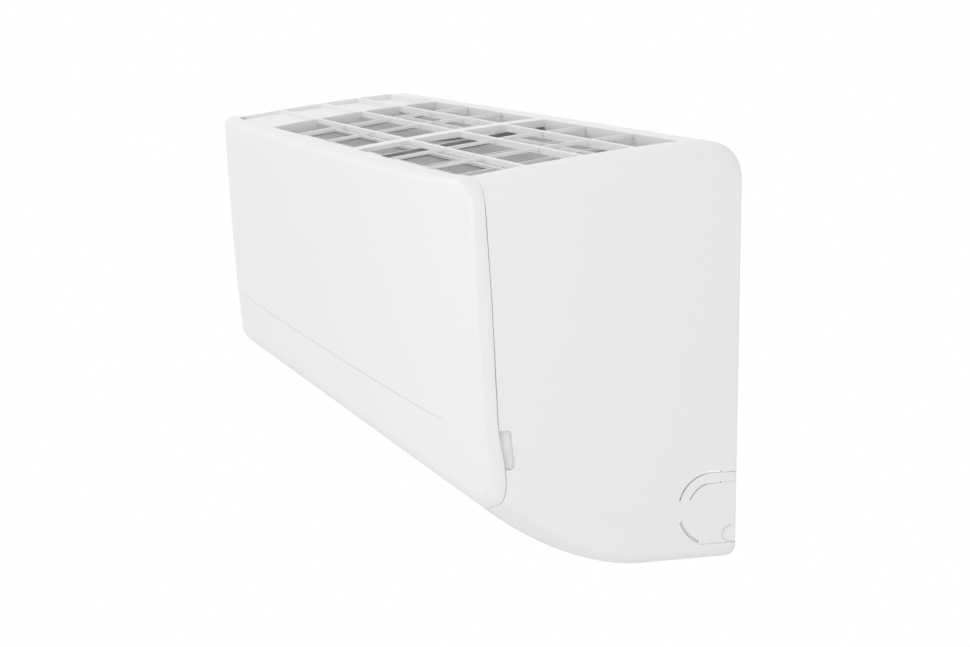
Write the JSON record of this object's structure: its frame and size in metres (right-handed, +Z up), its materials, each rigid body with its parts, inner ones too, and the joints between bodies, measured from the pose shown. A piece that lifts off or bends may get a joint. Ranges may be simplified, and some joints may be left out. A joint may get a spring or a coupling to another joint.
{
  "type": "mini split indoor unit",
  "caption": "Wall-hung indoor unit of a split air conditioner: moulded casing with top intake grille, swing-up front panel, cross-flow fan, bent heat exchanger and curved air louver.",
  "frame": {"origin": "centre of the back of the mounting plate, on the wall plane", "axes": "+X along the width, to the right of someone facing the unit; +Y into the wall; +Z up"},
  "size_m": [0.78, 0.2149, 0.291],
  "materials": {
    "white_plastic": "smooth, slightly glossy",
    "inner_plastic": "moulded, matt",
    "grey_plastic": "moulded, matt",
    "dark_plastic": "moulded, matt",
    "filter_net": "fine woven net",
    "fins": "thin bare fins",
    "galvanised_steel": "zinc-coated sheet",
    "copper": "drawn copper tube",
    "brass": "machined",
    "steel": "machined or drawn",
    "rubber": "moulded, matt",
    "circuit_board": "laminate with parts"
  },
  "bodies": {
    "unit": {"casing": "white_plastic", "rear_chassis": "inner_plastic", "mounting_plate": "galvanised_steel", "drain_pan": "inner_plastic", "drain_tube": "grey_plastic", "drain_cap": "rubber", "louver_motor": "steel", "fin_pack_front": "fins", "fin_pack_upper": "fins", "fin_pack_rear": "fins", "tube_sheet_left": "galvanised_steel", "tube_sheet_right": "galvanised_steel", "gas_pipe": "copper", "liquid_pipe": "copper", "gas_flare_nut": "brass", "liquid_flare_nut": "brass", "coil_sensor": "copper", "fan_bearing": "rubber", "fan_motor": "steel", "motor_cover": "inner_plastic", "left_filter_frame": "white_plastic", "left_filter_net": "filter_net", "right_filter_frame": "white_plastic", "right_filter_net": "filter_net", "control_box": "galvanised_steel", "control_box_cover": "galvanised_steel", "control_board": "circuit_board", "terminal_block": "dark_plastic", "cable_clamp": "dark_plastic", "room_sensor": "dark_plastic", "indicator_board": "circuit_board", "casing_screw_left": "steel", "casing_screw_middle": "steel", "casing_screw_right": "steel", "screw_cap_left": "white_plastic", "screw_cap_middle": "white_plastic", "screw_cap_right": "white_plastic"},
    "panel": {"front_panel": "white_plastic"},
    "louver_body": {"louver": "white_plastic"},
    "fan": {"fan_wheel": "grey_plastic", "motor_shaft": "steel", "stub_shaft": "steel"},
    "button": {"push_button": "grey_plastic"},
    "left_link": {"vane_link_left": "inner_plastic"},
    "right_link": {"vane_link_right": "inner_plastic"},
    "left_vane_1": {"vane_left_1": "inner_plastic"},
    "left_vane_2": {"vane_left_2": "inner_plastic"},
    "left_vane_3": {"vane_left_3": "inner_plastic"},
    "left_vane_4": {"vane_left_4": "inner_plastic"},
    "left_vane_5": {"vane_left_5": "inner_plastic"},
    "right_vane_1": {"vane_right_1": "inner_plastic"},
    "right_vane_2": {"vane_right_2": "inner_plastic"},
    "right_vane_3": {"vane_right_3": "inner_plastic"},
    "right_vane_4": {"vane_right_4": "inner_plastic"},
    "right_vane_5": {"vane_right_5": "inner_plastic"}
  },
  "joints": [
    {"name": "panel_swing", "type": "hinge", "parent": "unit", "child": "panel", "pos_m": [0, -0.183, 0.11], "axis": [-1, 0, 0], "range_deg": [0, 50]},
    {"name": "louver_swing", "type": "hinge", "parent": "unit", "child": "louver_body", "pos_m": [0, -0.116, -0.1372], "axis": [1, 0, 0], "range_deg": [0, 75]},
    {"name": "fan_spin", "type": "hinge", "parent": "unit", "child": "fan", "pos_m": [0, -0.088, -0.053], "axis": [1, 0, 0], "continuous": true},
    {"name": "button_press", "type": "slide", "parent": "unit", "child": "button", "axis": [0, 1, 0], "range_m": [0, 0.0015], "stiffness_N_per_m": 400},
    {"name": "left_vane_1_turn", "type": "hinge", "parent": "unit", "child": "left_vane_1", "pos_m": [-0.158, -0.15312, -0.09316], "axis": [0, 0.7083, -0.7059], "range_deg": [-30, 30]},
    {"name": "left_vane_2_turn", "type": "hinge", "parent": "unit", "child": "left_vane_2", "pos_m": [-0.104, -0.15312, -0.09316], "axis": [0, 0.7083, -0.7059], "range_deg": [-30, 30]},
    {"name": "left_vane_3_turn", "type": "hinge", "parent": "unit", "child": "left_vane_3", "pos_m": [-0.05, -0.15312, -0.09316], "axis": [0, 0.7083, -0.7059], "range_deg": [-30, 30]},
    {"name": "left_vane_4_turn", "type": "hinge", "parent": "unit", "child": "left_vane_4", "pos_m": [0.004, -0.15312, -0.09316], "axis": [0, 0.7083, -0.7059], "range_deg": [-30, 30]},
    {"name": "left_vane_5_turn", "type": "hinge", "parent": "unit", "child": "left_vane_5", "pos_m": [0.058, -0.15312, -0.09316], "axis": [0, 0.7083, -0.7059], "range_deg": [-30, 30]},
    {"name": "right_vane_1_turn", "type": "hinge", "parent": "unit", "child": "right_vane_1", "pos_m": [0.112, -0.15312, -0.09316], "axis": [0, 0.7083, -0.7059], "range_deg": [-30, 30]},
    {"name": "right_vane_2_turn", "type": "hinge", "parent": "unit", "child": "right_vane_2", "pos_m": [0.166, -0.15312, -0.09316], "axis": [0, 0.7083, -0.7059], "range_deg": [-30, 30]},
    {"name": "right_vane_3_turn", "type": "hinge", "parent": "unit", "child": "right_vane_3", "pos_m": [0.22, -0.15312, -0.09316], "axis": [0, 0.7083, -0.7059], "range_deg": [-30, 30]},
    {"name": "right_vane_4_turn", "type": "hinge", "parent": "unit", "child": "right_vane_4", "pos_m": [0.274, -0.15312, -0.09316], "axis": [0, 0.7083, -0.7059], "range_deg": [-30, 30]},
    {"name": "right_vane_5_turn", "type": "hinge", "parent": "unit", "child": "right_vane_5", "pos_m": [0.328, -0.15312, -0.09316], "axis": [0, 0.7083, -0.7059], "range_deg": [-30, 30]},
    {"name": "left_link_turn", "type": "hinge", "parent": "left_vane_3", "child": "left_link", "pos_m": [-0.05, -0.14677, -0.08679], "axis": [0, 0.7083, -0.7059], "range_deg": [-30, 30]},
    {"name": "right_link_turn", "type": "hinge", "parent": "right_vane_3", "child": "right_link", "pos_m": [0.22, -0.14677, -0.08679], "axis": [0, 0.7083, -0.7059], "range_deg": [-30, 30]}
  ],
  "couplings": [
    {"joint": "left_vane_1_turn", "follows": "left_vane_3_turn", "ratio": 1},
    {"joint": "left_vane_2_turn", "follows": "left_vane_3_turn", "ratio": 1},
    {"joint": "left_vane_4_turn", "follows": "left_vane_3_turn", "ratio": 1},
    {"joint": "left_vane_5_turn", "follows": "left_vane_3_turn", "ratio": 1},
    {"joint": "left_link_turn", "follows": "left_vane_3_turn", "ratio": -1},
    {"joint": "right_vane_1_turn", "follows": "right_vane_3_turn", "ratio": 1},
    {"joint": "right_vane_2_turn", "follows": "right_vane_3_turn", "ratio": 1},
    {"joint": "right_vane_4_turn", "follows": "right_vane_3_turn", "ratio": 1},
    {"joint": "right_vane_5_turn", "follows": "right_vane_3_turn", "ratio": 1},
    {"joint": "right_link_turn", "follows": "right_vane_3_turn", "ratio": -1}
  ]
}
